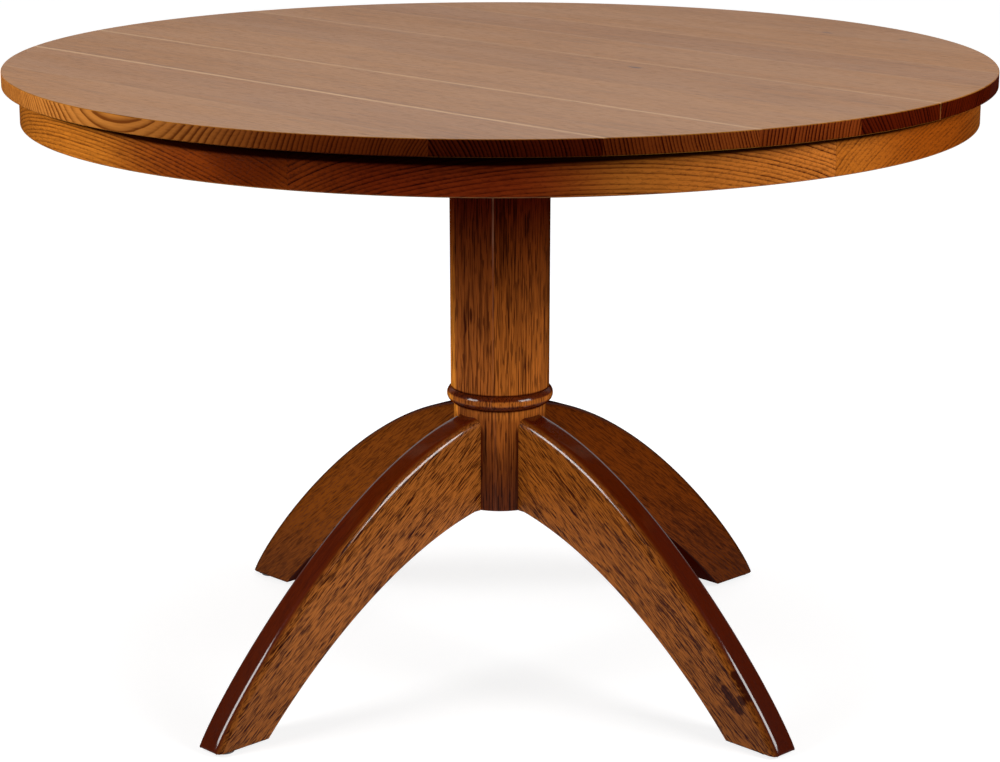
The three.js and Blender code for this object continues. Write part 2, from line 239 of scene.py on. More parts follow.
class Graph:
    """The nodes of one material or world, written as formulas."""

    def __init__(self, owner):
        self.owner = owner
        owner.use_nodes = True
        self.nodes = owner.node_tree.nodes
        self.links = owner.node_tree.links
        self.nodes.clear()

    def feed(self, socket, value):
        if isinstance(value, bpy.types.NodeSocket):
            self.links.new(value, socket)
        else:
            socket.default_value = value

    def math(self, operation, *values, clamp=False):
        node = self.nodes.new("ShaderNodeMath")
        node.operation = operation
        node.use_clamp = clamp
        for socket, value in zip(node.inputs, values):
            self.feed(socket, value)
        return node.outputs[0]

    def vector(self, operation, *values):
        node = self.nodes.new("ShaderNodeVectorMath")
        node.operation = operation
        for socket, value in zip(node.inputs, values):
            self.feed(socket, value)
        return node.outputs["Value" if operation in ("LENGTH", "DOT_PRODUCT") else "Vector"]

    def xyz(self, vector):
        node = self.nodes.new("ShaderNodeSeparateXYZ")
        self.feed(node.inputs[0], vector)
        return node.outputs

    def combine(self, x, y, z):
        node = self.nodes.new("ShaderNodeCombineXYZ")
        for socket, value in zip(node.inputs, (x, y, z)):
            self.feed(socket, value)
        return node.outputs[0]

    def noise(self, vector, stretch, seed, detail=2.0, rough=0.5, colour=False):
        """Noise with its own fineness along each axis, in features per metre."""
        scaled = self.vector("MULTIPLY_ADD", vector, stretch, (seed, 1.7 * seed, -0.6 * seed))
        node = self.nodes.new("ShaderNodeTexNoise")
        self.feed(node.inputs["Vector"], scaled)
        node.inputs["Scale"].default_value = 1.0
        node.inputs["Detail"].default_value = detail
        node.inputs["Roughness"].default_value = rough
        return node.outputs["Color" if colour else "Fac"]

    def shake(self, vector, stretch, seed, detail):
        """Noise as a vector about zero."""
        noise = self.noise(vector, stretch, seed, detail, colour=True)
        return self.vector("SUBTRACT", noise, (0.5, 0.5, 0.5))

    def span(self, value, low, high, out_low=0.0, out_high=1.0, smooth=True):
        """Maps a span of values to another, held at both ends."""
        node = self.nodes.new("ShaderNodeMapRange")
        node.interpolation_type = "SMOOTHSTEP" if smooth else "LINEAR"
        for socket, item in zip(node.inputs, (value, low, high, out_low, out_high)):
            self.feed(socket, item)
        return node.outputs[0]

    def curve(self, value, stops):
        """A grey ramp through stops of (place, level)."""
        node = self.nodes.new("ShaderNodeValToRGB")
        elements = node.color_ramp.elements
        while len(elements) < len(stops):
            elements.new(0.5)
        for element, (place, level) in zip(elements, stops):
            element.position = place
            element.color = (level, level, level, 1)
        self.feed(node.inputs[0], value)
        return node.outputs["Color"]

    def mix(self, factor, first, second, blend="MIX"):
        node = self.nodes.new("ShaderNodeMix")
        node.data_type = "RGBA"
        node.blend_type = blend
        colours = [socket for socket in node.inputs if socket.type == "RGBA"]
        self.feed(node.inputs[0], factor)
        self.feed(colours[0], first)
        self.feed(colours[1], second)
        return next(socket for socket in node.outputs if socket.type == "RGBA")

    def place(self):
        return self.nodes.new("ShaderNodeTexCoord").outputs["Object"]

    def normal(self):
        return self.nodes.new("ShaderNodeTexCoord").outputs["Normal"]

    def mapped(self, vector, location, rotation):
        node = self.nodes.new("ShaderNodeMapping")
        self.feed(node.inputs["Vector"], vector)
        node.inputs["Location"].default_value = location
        node.inputs["Rotation"].default_value = rotation
        return node.outputs[0]

    def turned_away(self):
        """0 where a surface faces the eye, 1 where it is seen edge-on."""
        return self.nodes.new("ShaderNodeLayerWeight").outputs["Facing"]

    def node(self, kind, **settings):
        """A node by its kind and its inputs. It gives its first output, if it has one."""
        node = self.nodes.new("ShaderNode" + kind)
        for label, value in settings.items():
            self.feed(node.inputs[label.replace("_", " ")], value)
        return next(iter(node.outputs), None)

    def split(self, kind, yes, no):
        """One shader for the named kind of ray and another for the rest."""
        node = self.nodes.new("ShaderNodeMixShader")
        path = self.nodes.new("ShaderNodeLightPath")
        for socket, item in zip(node.inputs, (path.outputs[kind], no, yes)):
            self.feed(socket, item)
        return node.outputs[0]

    def finish(self, colour, roughness, height, depth, **settings):
        """A varnished or metal surface, with height as its relief, depth metres deep."""
        bump = self.node("Bump", Strength=1.0, Distance=depth, Height=height)
        surface = self.node(
            "BsdfPrincipled", Base_Color=colour, Roughness=roughness, Normal=bump, **settings
        )
        self.node("OutputMaterial", Surface=surface)
        return self.owner


def rgb(red, green, blue):
    return (red, green, blue, 1.0)


def toned(colour, share):
    """A stain laid on deeper: it takes green and blue away faster than red."""
    return rgb(colour[0] * share, colour[1] * share ** 1.7, colour[2] * share ** 1.9)


# ---- Wood ----

# How a wood takes the stain on faces that turn away from an axis, and on the legs painted shade
# too: the span of the normal's share along that axis, then the contrast, the colours and, if it
# differs, the shine there.
Sawn = namedtuple("Sawn", "axis low high contrast light dark shine", defaults=(None,))

# Darkness through one year's ring, from dense wood to open wood and back.
RING_SHAPE = ((0.0, 0.7), (0.07, 1.0), (0.30, 0.45), (0.62, 0.06), (0.92, 0.1), (1.0, 0.7))

# The stain of each wood: light is the open wood of a ring, and dark its dense wood.
TOP_LIGHT, TOP_DARK = rgb(0.292, 0.108, 0.011), rgb(0.120, 0.036, 0.002)
RIM_LIGHT, RIM_DARK = rgb(0.540, 0.205, 0.036), rgb(0.080, 0.012, 0.001)
RIM_PALE = rgb(0.170, 0.044, 0.006)  # the dark of the first board's rim
APRON_LIGHT, APRON_DARK = rgb(0.720, 0.235, 0.024), rgb(0.075, 0.009, 0.001)
# Painted shade on some sides of the apron, by the way they face: the way they face, in degrees,
# the cosines between which the shade sets in, and the shade.
APRON_SIDE_SHADES = (
    (-72, 0.92, 1.0, rgb(0.46, 0.24, 0.19)),
    (-71, 0.9925, 0.9990, rgb(0.56, 0.46, 0.46)),
    (-49, 0.948, 0.998, rgb(0.66, 0.27, 0.34)),
    (14, 0.950, 1.0, rgb(0.60, 0.45, 0.25)),
)
POST_LIGHT, POST_DARK = rgb(0.460, 0.130, 0.015), rgb(0.035, 0.003, 0.001)
LEG_LIGHT, LEG_DARK = rgb(0.400, 0.126, 0.021), rgb(0.045, 0.006, 0.001)
# Narrow faces of the legs: deeper stain on their edge grain, and painted shade from the top.
LEG_EDGE_SHADED_LIGHT, LEG_EDGE_SHADED_DARK = rgb(0.110, 0.013, 0.001), rgb(0.030, 0.002, 0.001)
KNOT = rgb(0.034, 0.003, 0.001)
PALE_GLUE, RIM_GLUE, POST_GLUE = rgb(0.66, 0.42, 0.22), rgb(0.50, 0.20, 0.05), rgb(0.34, 0.15, 0.07)
PAINTED_ARRIS_HIGHLIGHT = rgb(0.62, 0.30, 0.12)  # a painted highlight along the apron's bottom arris
# Painted shade on the head of the post, under the table.
POST_HEAD_SHADE = rgb(0.17, 0.02, 0.05)
POST_HEAD_SHADE_REACH = 0.36  # metres from the top of the shaft down to where the head's painted shade begins
WHITE = rgb(1, 1, 1)


def grain_turned(rotation, location=(0, 0, 0)):
    """A place for wood(), turned so that X runs along the grain."""
    return lambda g: g.mapped(g.place(), location, rotation)


def bent_round_knots(g, grain, bent, jitter, knots):
    """The grain led round its knots, and where their cores are."""
    core = None
    for spot, along, across in knots:
        offset = g.vector("SUBTRACT", grain, spot)
        ragged = g.vector("MULTIPLY", jitter, (0.012, 0.006, 0.006))
        reach = (1 / along, 1 / across, 1 / across)
        distance = g.vector("LENGTH", g.vector("MULTIPLY", g.vector("ADD", offset, ragged), reach))
        swell = g.span(distance, 0.3, 3.5, 1.0, 0.0)
        push = g.vector("MULTIPLY", offset, (0.0, -0.55, -0.55))
        bent = g.vector("ADD", bent, g.vector("MULTIPLY", push, g.combine(swell, swell, swell)))
        inside = g.span(distance, 0.65, 1.15, 1.0, 0.0)
        core = inside if core is None else g.math("MAXIMUM", core, inside)
    return bent, core


def growth_rings(g, bent, pith, tilt, ring, uneven, seed):
    """The phase in each year's ring, and the dark band of its dense wood."""
    along, side, height = g.xyz(bent)
    dy = g.math("SUBTRACT", side, g.math("MULTIPLY_ADD", along, tilt[0], pith[0]))
    dz = g.math("SUBTRACT", height, g.math("MULTIPLY_ADD", along, tilt[1], pith[1]))
    radius = g.math("SQRT", g.math("ADD", g.math("MULTIPLY", dy, dy), g.math("MULTIPLY", dz, dz)))
    spread = g.noise(g.combine(radius, 0.0, 0.0), (45, 1, 1), seed + 5, 2.0)
    rings = g.math("ADD", g.math("DIVIDE", radius, ring), g.math("MULTIPLY", spread, uneven))
    phase = g.math("FRACT", rings)
    year = g.nodes.new("ShaderNodeTexWhiteNoise")
    year.noise_dimensions = "1D"
    g.feed(year.inputs["W"], g.math("ADD", g.math("FLOOR", rings), seed))
    strength = g.span(year.outputs["Value"], 0, 1, 0.4, 1.0, smooth=False)
    return phase, g.math("MULTIPLY", g.curve(phase, RING_SHAPE), strength)


def fine_lines(g, grain, fibre_scale, streaks, seed):
    """Light and dark lines along the grain: fibres, and wider streaks of them."""
    along, across = fibre_scale
    fibre = g.noise(grain, (along, across, across), seed + 9, 2.0, 0.6)
    streak = g.noise(grain, (3.5, 120, 120), seed + 13, 2.0)
    return g.math("ADD", g.span(fibre, 0.36, 0.66, -streaks, streaks),
                  g.span(streak, 0.35, 0.7, -0.35 * streaks, 0.45 * streaks))


def open_pores(g, grain, phase, size, cover, seed):
    """Where pores lie open: flecks of a length and width, fainter in the open wood of a ring."""
    length, width = size
    pores = g.noise(grain, (0.8 / length, 0.8 / width, 0.8 / width), seed + 21, 1.0, 0.4)
    by_ring = g.span(phase, 0.0, 0.6, 1.0, 0.72)
    least = 0.66 - 0.16 * cover
    return g.math("MULTIPLY", g.span(pores, least, least + 0.06), by_ring)


def wood(name, place, pith, seed, light, dark, ring=0.0045, contrast=0.6, tilt=(0.0, 0.0),
         wobble=0.010, streaks=0.3, fleck=0.5, fleck_size=(0.007, 0.0008), cover=0.5, knots=(),
         tone=(1.0, 1.0, 1.0), shine=0.35, depth=0.0001, sawn=None, marks=None, uneven=2.5,
         ripple=0.0012, fibre_scale=(12, 480), edge=0.0, dull=None, **shader):
    """Stained hardwood. place gives the vector whose X runs along the grain, pith is where the
    rings centre across it, tilt how that moves along it, and knots are (place, reach along,
    reach across). ring is a year's width and uneven how it varies, and the grain strays slowly
    by wobble and quickly by ripple. streaks and fleck are how strongly the fine lines and the
    open pores show, and cover is how many pores there are. sawn is a Sawn, for faces that take
    the stain in another way. edge is how much painted shade darkens the finish where the
    surface turns away from the eye, and dull gives the share of its shine that it keeps."""
    g = Graph(bpy.data.materials.new(name))
    grain = place(g)
    # The colour of the painted shade toward the outline.
    outline = toned(dark, 0.4)
    drift = g.shake(grain, (1.6, 11, 11), seed, 2.0)
    jitter = g.shake(grain, (22, 160, 160), seed + 3, 1.0)
    warp = g.vector("MULTIPLY", drift, (0.0, wobble, wobble))
    warp = g.vector("ADD", warp, g.vector("MULTIPLY", jitter, (0.0, ripple, ripple)))
    bent, knot_core = bent_round_knots(g, grain, g.vector("ADD", grain, warp), jitter, knots)
    phase, band = growth_rings(g, bent, pith, tilt, ring, uneven, seed)
    cloud = g.noise(grain, (3, 14, 14), seed + 17, 2.0)
    if sawn:
        facing = g.math("ABSOLUTE", g.xyz(g.normal())["XYZ".index(sawn.axis)])
        sawn_share = g.span(facing, sawn.low, sawn.high, 1.0, 0.0)
        contrast = g.span(sawn_share, 0, 1, contrast, sawn.contrast, smooth=False)
        light = g.mix(sawn_share, light, sawn.light)
        dark = g.mix(sawn_share, dark, sawn.dark)
        pore_colour = g.mix(1.0, dark, rgb(0.6, 0.6, 0.6), "MULTIPLY")
        figure = g.span(sawn_share, 0, 1, 1.0, 0.25, smooth=False)
        if sawn.shine is not None:
            shader["Specular_IOR_Level"] = g.span(sawn_share, 0, 1, 0.5, sawn.shine, smooth=False)
    else:
        pore_colour = [c * 0.6 for c in dark[:3]] + [1.0]
        figure = 1.0
    lines = g.math("MULTIPLY", fine_lines(g, grain, fibre_scale, streaks, seed), figure)
    dark_share = g.math("MULTIPLY_ADD", band, contrast, lines)
    dark_share = g.math("ADD", dark_share, g.span(cloud, 0.3, 0.7, -0.10, 0.10), clamp=True)
    colour = g.mix(dark_share, light, dark)
    pores = open_pores(g, grain, phase, fleck_size, cover, seed)
    pore_share = g.math("MULTIPLY", g.math("MULTIPLY", pores, figure), fleck)
    colour = g.mix(pore_share, colour, pore_colour)
    if knots:
        colour = g.mix(g.math("MULTIPLY", knot_core, 0.92), colour, KNOT)
    if marks:
        colour = marks(g, colour)
    colour = g.mix(1.0, colour, rgb(*tone), "MULTIPLY")
    # Painted shade toward the outline, where the surface turns away from the eye.
    if edge:
        colour = g.mix(g.span(g.turned_away(), 0.55, 0.95, 0.0, edge), colour, outline)
    if dull:
        kept = dull(g)
        for label in ("Specular_IOR_Level", "Coat_Weight"):
            if label in shader:
                shader[label] = g.math("MULTIPLY", kept, shader[label])
    gloss = g.span(cloud, 0.3, 0.7, shine - 0.03, shine + 0.04)
    gloss = g.math("MULTIPLY_ADD", pores, 0.15, gloss)
    relief = g.math("SUBTRACT", 1.0, g.math("MULTIPLY", pores, 0.8))
    relief = g.math("SUBTRACT", relief, g.math("MULTIPLY", band, 0.25))
    return g.finish(colour, gloss, relief, depth, IOR=1.5, **shader)


# ---- Top ----

def top_pieces():
    """Nine boards, cut from one turned disc, with the arris only on the rim."""
    profile = [
        *arc((top_radius - top_arris, board_low + top_arris), top_arris, -90, 0, 5),
        *arc((top_radius - top_arris, board_high - top_arris), top_arris, 0, 90, 5),
    ]
    # Pith side and height, ring width and tone of each board from the front of the row.
    boards = {
        1: dict(pith=(-0.30, 0.709), ring=0.0021, tone=(1.03, 1.03, 1.03), tilt=(0.047, 0.0),
                uneven=1.2),
        2: dict(pith=(-0.62, 0.700), ring=0.0030, tone=(0.94, 0.92, 0.92), tilt=(-0.01, 0.02)),
        3: dict(pith=(0.00, 0.820), ring=0.0034, tone=(0.98, 0.98, 0.98), tilt=(0.01, -0.01)),
        4: dict(pith=(0.05, 0.735), ring=0.0046, tone=(1.00, 1.00, 1.00), tilt=(-0.02, 0.01)),
        5: dict(pith=(-0.20, 0.640), ring=0.0050, tone=(0.91, 0.89, 0.88), tilt=(0.01, 0.01)),
        6: dict(pith=(0.30, 0.680), ring=0.0056, tone=(0.96, 0.95, 0.94), tilt=(0.01, 0.0)),
        7: dict(pith=(0.12, 0.700), ring=0.0044, tone=(0.87, 0.83, 0.81), tilt=(0.0, 0.02)),
        8: dict(pith=(0.60, 0.690), ring=0.0042, tone=(0.98, 0.97, 0.96), tilt=(0.02, 0.0)),
        9: dict(pith=(0.36, 0.720), ring=0.0040, tone=(0.94, 0.92, 0.91), tilt=(0.0, 0.01)),
    }
    # What share of its light the stain leaves each rim, painted shade included, then between
    # which places along the board painted light and shade change it, and by what factor.
    rims = {
        1: (0.92, -0.04, 0.31, 0.34), 2: (0.24, 0.30, 0.45, 0.7), 3: (0.29, 0.49, 0.55, 1.4),
        4: (0.34, 0.50, 0.60, 1.0), 5: (0.13, 0.50, 0.60, 1.0), 6: (0.12, 0.50, 0.60, 1.0),
        7: (0.13, 0.50, 0.60, 1.0), 8: (0.40, 0.20, 0.40, 1.0), 9: (0.60, 0.10, 0.30, 1.0),
    }
    # How plainly the glue shows on the low and the high side of each board, the stain by it,
    # and how plainly the glue of the high side shows on the rim.
    glue = {
        1: (0.0, 0.05, 0.0, 0.0), 2: (0.15, 0.40, 0.1, 0.0), 3: (0.62, 0.25, 0.4, 0.0),
        4: (0.42, 0.05, 0.1, 0.0), 5: (0.05, 0.35, 0.0, 0.25), 6: (0.15, 0.10, 0.0, 0.0),
        7: (0.20, 0.05, 0.2, 0.0), 8: (0.20, 0.05, 0.0, 0.0), 9: (0.05, 0.0, 0.0, 0.0),
    }
    knots = {
        5: (((0.170, 0.060, board_high), 0.012, 0.004),
            ((-0.490, 0.060, board_high), 0.010, 0.003)),
        9: (((0.120, 0.482, board_high), 0.010, 0.003),
            ((0.235, 0.495, board_high), 0.009, 0.003)),
    }
    for number, look in boards.items():
        node = f"top_board_{number}"
        low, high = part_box(node)
        bm = lathe(profile, rim_steps)
        if low.y > -top_radius + top_arris:
            cut_away(bm, (0, low.y, 0), (0, -1, 0))
        if high.y < top_radius - top_arris:
            cut_away(bm, (0, high.y, 0), (0, 1, 0))
        share = rims[number][0]
        rim_dark = RIM_PALE if number == 1 else toned(RIM_DARK, share)
        material = wood(
            f"stained_board_{number}", Graph.place, seed=10.0 * number, light=TOP_LIGHT,
            dark=TOP_DARK, contrast=0.45, streaks=0.34, fleck=0.4, fleck_size=(0.016, 0.0010),
            shine=0.42, depth=0.00003, ripple=0.0004, dull=board_dull, knots=knots.get(number, ()),
            marks=board_marks(low.y, high.y, *glue[number], *rims[number][1:]),
            sawn=Sawn("Z", 0.35, 0.8, 1.7, toned(RIM_LIGHT, share), rim_dark, shine=0.08),
            **look,
        )
        piece(f"board_{number}", bm, material, node)


def board_dull(g):
    """The share of its shine that the top keeps: little when it is seen from above, and none
    when it is seen almost edge-on. Else the soft boxes burn out in it."""
    away = g.turned_away()
    from_above = g.span(away, 0.812, 0.834, 0.05, 1.0)
    return g.math("MULTIPLY", from_above, g.span(away, 0.89, 0.94, 1.0, 0.0))


def board_marks(low, high, low_glue, high_glue, low_stain, rim_glue,
                rim_shade_start, rim_shade_end, rim_shade_factor):
    """The pale glue lines along a board's joints, the stain beside them, and painted light and
    shade on the rim, which change between two places along the board."""
    def marks(g, colour):
        along, across, _ = g.xyz(g.place())
        level = g.span(g.xyz(g.normal())[2], 0.5, 0.8)
        broken = g.span(g.noise(g.place(), (8, 260, 260), 4.0, 2.0), 0.3, 0.6, 0.5, 1.0)
        from_low = g.math("SUBTRACT", across, low)
        below = g.span(from_low, 0.001, 0.0050, low_glue, 0.0)
        above = g.span(g.math("SUBTRACT", high, across), 0.001, 0.0050, high_glue, 0.0)
        share = g.math("MULTIPLY", g.math("MAXIMUM", below, above), broken)
        colour = g.mix(g.math("MULTIPLY", share, level), colour, PALE_GLUE)
        fading = g.span(from_low, 0.009, 0.013, low_stain, 0.0)
        band = g.math("MULTIPLY", g.span(from_low, 0.004, 0.007), fading)
        colour = g.mix(g.math("MULTIPLY", band, level), colour, TOP_DARK)
        rim = g.math("SUBTRACT", 1.0, level)
        # Painted light and shade on the rim, between two places along the board.
        rim_shaded = g.math("MULTIPLY", g.span(along, rim_shade_start, rim_shade_end), rim)
        colour = g.mix(rim_shaded, colour, toned(WHITE, rim_shade_factor), "MULTIPLY")
        seam = g.span(g.math("SUBTRACT", high, across), 0.001, 0.0030, rim_glue, 0.0)
        return g.mix(g.math("MULTIPLY", seam, rim), colour, RIM_GLUE)

    return marks


# ---- Apron ----

def spread_of(node):
    """Least and greatest radius of a node, and its first and last angle about the axis."""
    points = [vertex.co for vertex in frame["nodes"][node].data.vertices]
    radii = [math.hypot(p.x, p.y) for p in points]
    low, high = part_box(node)
    middle = math.atan2(low.y + high.y, low.x + high.x)
    turns = [math.remainder(math.atan2(p.y, p.x) - middle, 2 * math.pi) for p in points]
    return min(radii), max(radii), middle + min(turns), middle + max(turns)


def apron_overhang_shadow(g):
    """A painted shadow in the corner below the top, deeper toward the front."""
    x, _, height = g.xyz(g.place())
    deep = g.math("MULTIPLY", g.span(x, -0.05, 0.15), g.span(x, 0.40, 0.53, 1.0, 0.0))
    lift = g.math("MULTIPLY_ADD", deep, 0.0045, height)
    return g.span(lift, board_low - 0.0095, board_low - 0.0060)


def apron_dull(g):
    """The painted shadow in the corner does not shine."""
    return g.math("SUBTRACT", 1.0, apron_overhang_shadow(g))


def apron_painted_light(g, colour):
    """Painted shade on some sides, a painted shadow in the corner below the top, and a painted
    highlight on the bottom arris.
    """
    height = g.xyz(g.place())[2]
    # Painted shade on some sides, by the way they face.
    for turn, start, end, stain in APRON_SIDE_SHADES:
        toward = (math.cos(math.radians(turn)), math.sin(math.radians(turn)), 0)
        share = g.span(g.vector("DOT_PRODUCT", g.normal(), toward), start, end)
        colour = g.mix(share, colour, stain, "MULTIPLY")
    # A painted shadow in the corner below the overhang of the top.
    colour = g.mix(g.math("MULTIPLY", apron_overhang_shadow(g), 0.95), colour, toned(APRON_DARK, 0.15))
    # A painted highlight along the bottom arris.
    arris_highlight = g.span(height, apron_low + 0.0003, apron_low + 0.0020, 0.6, 0.0)
    return g.mix(arris_highlight, colour, PAINTED_ARRIS_HIGHLIGHT)


def apron_pieces():
    """Six sawn segments of one ring. Each is straight-grained along its own chord."""
    looks = {
        1: dict(pith=(-0.130, -0.160), tone=(0.62, 0.53, 0.48), tilt=(0.10, 0.0), contrast=0.75),
        2: dict(pith=(-0.105, -0.190), tone=(0.90, 0.88, 0.90), contrast=0.90),
        3: dict(pith=(-0.120, -0.180), tone=(0.95, 0.93, 0.90), contrast=0.90),
        4: dict(pith=(-0.110, -0.185), tone=(0.92, 0.90, 0.90), contrast=0.90),
        5: dict(pith=(-0.105, -0.190), tone=(0.84, 0.80, 0.72), tilt=(-0.05, 0.0), contrast=0.85),
        6: dict(pith=(-0.115, -0.190), tone=(0.80, 0.73, 0.90), tilt=(0.03, 0.0), contrast=1.10),
    }
    for number, look in looks.items():
        node = f"apron_segment_{number}"
        inner, outer, start, end = spread_of(node)
        profile = [
            (inner, apron_low),
            *arc((outer - apron_arris, apron_low + apron_arris), apron_arris, -90, 0, 5),
            (outer, board_low),
            (inner, board_low),
        ]
        bm = lathe(profile, rim_steps, ring=True)
        cut_away(bm, (0, 0, 0), (math.sin(start), -math.cos(start), 0))
        cut_away(bm, (0, 0, 0), (-math.sin(end), math.cos(end), 0))
        along_chord = (start + end) / 2 + math.pi / 2
        centre_height = (apron_low + board_low) / 2
        chord = grain_turned((0, 0, -along_chord), (0, outer, -centre_height))
        material = wood(
            f"stained_apron_{number}", chord, seed=200.0 + 10 * number, light=APRON_LIGHT,
            dark=APRON_DARK, ring=0.0038, streaks=0.14, fleck=0.30, ripple=0.0004,
            fleck_size=(0.004, 0.0012), shine=0.34, wobble=0.012, marks=apron_painted_light, edge=0.4,
            dull=apron_dull, Specular_IOR_Level=0.04, **look,
        )
        piece(f"apron_{number}", bm, material, node)


# ---- Post ----

def dovetail(neck_reach, grow):
    """Plan of a dovetail, widest at its root in the hub."""
    root_reach = hub_radius - dovetail_depth - grow
    flare = (dovetail_root_width - dovetail_neck_width) / 2 / dovetail_depth
    root = dovetail_root_width / 2 + grow
    neck = root - flare * (neck_reach - root_reach)
    return [(root_reach, -root), (neck_reach, -neck), (neck_reach, neck), (root_reach, root)]


def turned(outline, angle):
    """An outline in plan, turned about the post's axis."""
    c, s = math.cos(angle), math.sin(angle)
    return [(c * x - s * y, s * x + c * y) for x, y in outline]


def upright(g):
    """The post's grain: up, along a layer and through the layers."""
    level = g.mapped(g.place(), (0, 0, 0), (0, 0, -lamination_turn))
    return g.mapped(level, (0, 0, 0), (0, math.pi / 2, 0))


def squared(point):
    """A place on the post as its grain has it."""
    turn = Matrix.Rotation(math.pi / 2, 3, "Y") @ Matrix.Rotation(-lamination_turn, 3, "Z")
    return tuple(turn @ Vector(point))


def post_blank():
    """The post as turned: hub, quirk, bead, quirk, shaft and tenon."""
    bead_arc = bead_height / 2
    centre = bead_radius - bead_arc
    neck = math.degrees(math.acos((hub_radius - centre) / bead_arc))
    shaft = math.degrees(math.acos((shaft_foot_radius - centre) / bead_arc))
    bead_low = bead_middle - bead_arc * math.sin(math.radians(neck))
    bead_high = bead_middle + bead_arc * math.sin(math.radians(shaft))
    profile = [
        *arc((hub_radius - hub_arris, hub_bottom + hub_arris), hub_arris, -90, 0, 6),
        (hub_radius, bead_low - quirk_height),
        (hub_radius - quirk_depth, bead_low),
        *arc((centre, bead_middle), bead_arc, -neck, shaft, 24),
        (shaft_foot_radius - quirk_depth, bead_high),
        (shaft_foot_radius, bead_high + quirk_height),
        (shaft_head_radius, shaft_top),
        (tenon_radius, shaft_top),
        (tenon_radius, tenon_top),
    ]
    return lathe(profile, post_steps)


def bead_shade(g, height):
    """The share of painted shade on the bead, above and below its middle."""
    rise = g.math("SUBTRACT", height, bead_middle)
    above = g.math("MULTIPLY", g.span(rise, 0.0020, 0.0045), g.span(rise, 0.0100, 0.0118, 1.0, 0.0))
    below = g.span(rise, -0.0045, -0.0015, 1.0, 0.0)
    below = g.math("MULTIPLY", below, g.span(rise, -0.0130, -0.0110))
    return g.math("MULTIPLY", g.math("MAXIMUM", above, below), 0.92)


def hub_shade(g, x, y, height):
    """The share of painted shade on the hub between the legs, and in its corners with them."""
    top = shoulder[1] - 0.001
    low = g.span(height, hub_bottom, top, 0.85, 0.40)
    between = g.span(height, top - 0.005, top + 0.005, 1.0, 0.0)
    off_axis = g.math("MINIMUM", g.math("ABSOLUTE", x), g.math("ABSOLUTE", y))
    corner = g.span(g.math("SUBTRACT", off_axis, leg_width / 2), 0.0, 0.009, 0.95, 0.0)
    beside = g.span(height, top - 0.020, top, 1.0, 0.0)
    return g.math("MAXIMUM", g.math("MULTIPLY", low, between), g.math("MULTIPLY", corner, beside))


def post_glue_line(g, spot, height):
    """Where the glue of the middle and the right layer shows: a broken line, faint low down."""
    through_layers = (math.cos(lamination_turn), math.sin(lamination_turn), 0)
    stack = g.vector("DOT_PRODUCT", spot, through_layers)
    from_seam = g.math("ABSOLUTE", g.math("SUBTRACT", stack, lamination_seam))
    broken = g.span(g.noise(spot, (90, 90, 14), 6.0, 2.0), 0.35, 0.60, 0.3, 1.0)
    broken = g.math("MULTIPLY", broken, g.span(height, 0.44, 0.58, 0.10, 1.0))
    return g.math("MULTIPLY", g.span(from_seam, 0.0006, 0.0014, 1.0, 0.0), broken)


def post_shade_and_glue(g, colour):
    """Painted shade at the head of the post, by the bead and by the legs, and a glue line."""
    spot = g.place()
    x, y, height = g.xyz(spot)
    # Painted shade on the head of the post, under the table.
    head = g.span(height, shaft_top - POST_HEAD_SHADE_REACH, shaft_top - 0.08)
    colour = g.mix(head, colour, POST_HEAD_SHADE, "MULTIPLY")
    # Painted shade by the bead and on the hub between the legs.
    share = g.math("MAXIMUM", bead_shade(g, height), hub_shade(g, x, y, height))
    colour = g.mix(share, colour, toned(WHITE, 0.18), "MULTIPLY")
    return g.mix(post_glue_line(g, spot, height), colour, POST_GLUE)


def turned_dull(g):
    """The finish does not shine where it turns away."""
    return g.span(g.turned_away(), 0.5, 0.75, 1.0, 0.0)


def post_dull(g):
    """The same, and the shine fades toward the head of the post, in its painted shade."""
    height = g.xyz(g.place())[2]
    toward_head = g.span(height, shaft_top - POST_HEAD_SHADE_REACH, shaft_top - 0.12, 1.0, 0.1)
    return g.math("MULTIPLY", toward_head, turned_dull(g))


def post_pieces():
    """Three laminations of one turned post, with the legs' dovetail slots cut from below."""
    slots = []
    for i in range(4):
        outline = turned(dovetail(hub_radius + slot_overrun, fit_gap), i * math.pi / 2)
        slots.append(("DIFFERENCE", prism(outline, 0, dovetail_high + fit_gap)))
    blank = combined(post_blank(), slots)
    across = Vector((math.cos(lamination_turn), math.sin(lamination_turn), 0))
    layers = [
        # The left layer is much lighter, with less dark at its outline: painted light from the left
        # lamp.
        ("left", None, -lamination_seam, dict(
            pith=(0.02, 0.20), tone=(2.2, 2.6, 2.6), seed=310.0, edge=0.2)),
        ("middle", -lamination_seam, lamination_seam, dict(
            pith=(-0.30, 0.10), tone=(1.12, 1.07, 1.50), seed=320.0, wobble=0.012, ripple=0.0020,
            edge=0.7,
            knots=[(squared((0.0117, -0.0614, 0.4625)), 0.013, 0.0028),
                   (squared((0.0010, -0.0620, 0.4520)), 0.022, 0.0020)])),
        ("right", lamination_seam, None, dict(
            pith=(-0.12, -0.30), tone=(1.30, 1.28, 1.50), seed=330.0, edge=0.7)),
    ]
    for side, low, high, look in layers:
        bm = blank.copy()
        if low is not None:
            cut_away(bm, across * low, -across)
        if high is not None:
            cut_away(bm, across * high, across)
        material = wood(
            f"stained_post_{side}", upright, light=POST_LIGHT, dark=POST_DARK, ring=0.0030,
            contrast=0.38, streaks=0.42, fibre_scale=(12, 600), fleck=0.70,
            fleck_size=(0.022, 0.0013), cover=0.8, shine=0.30, marks=post_shade_and_glue, dull=post_dull,
            Specular_IOR_Level=0.05, Coat_Weight=0.6, Coat_Roughness=0.08, **look,
        )
        piece(f"post_{side}", bm, material, f"post_lamination_{side}")
    blank.free()


# ---- Legs ----

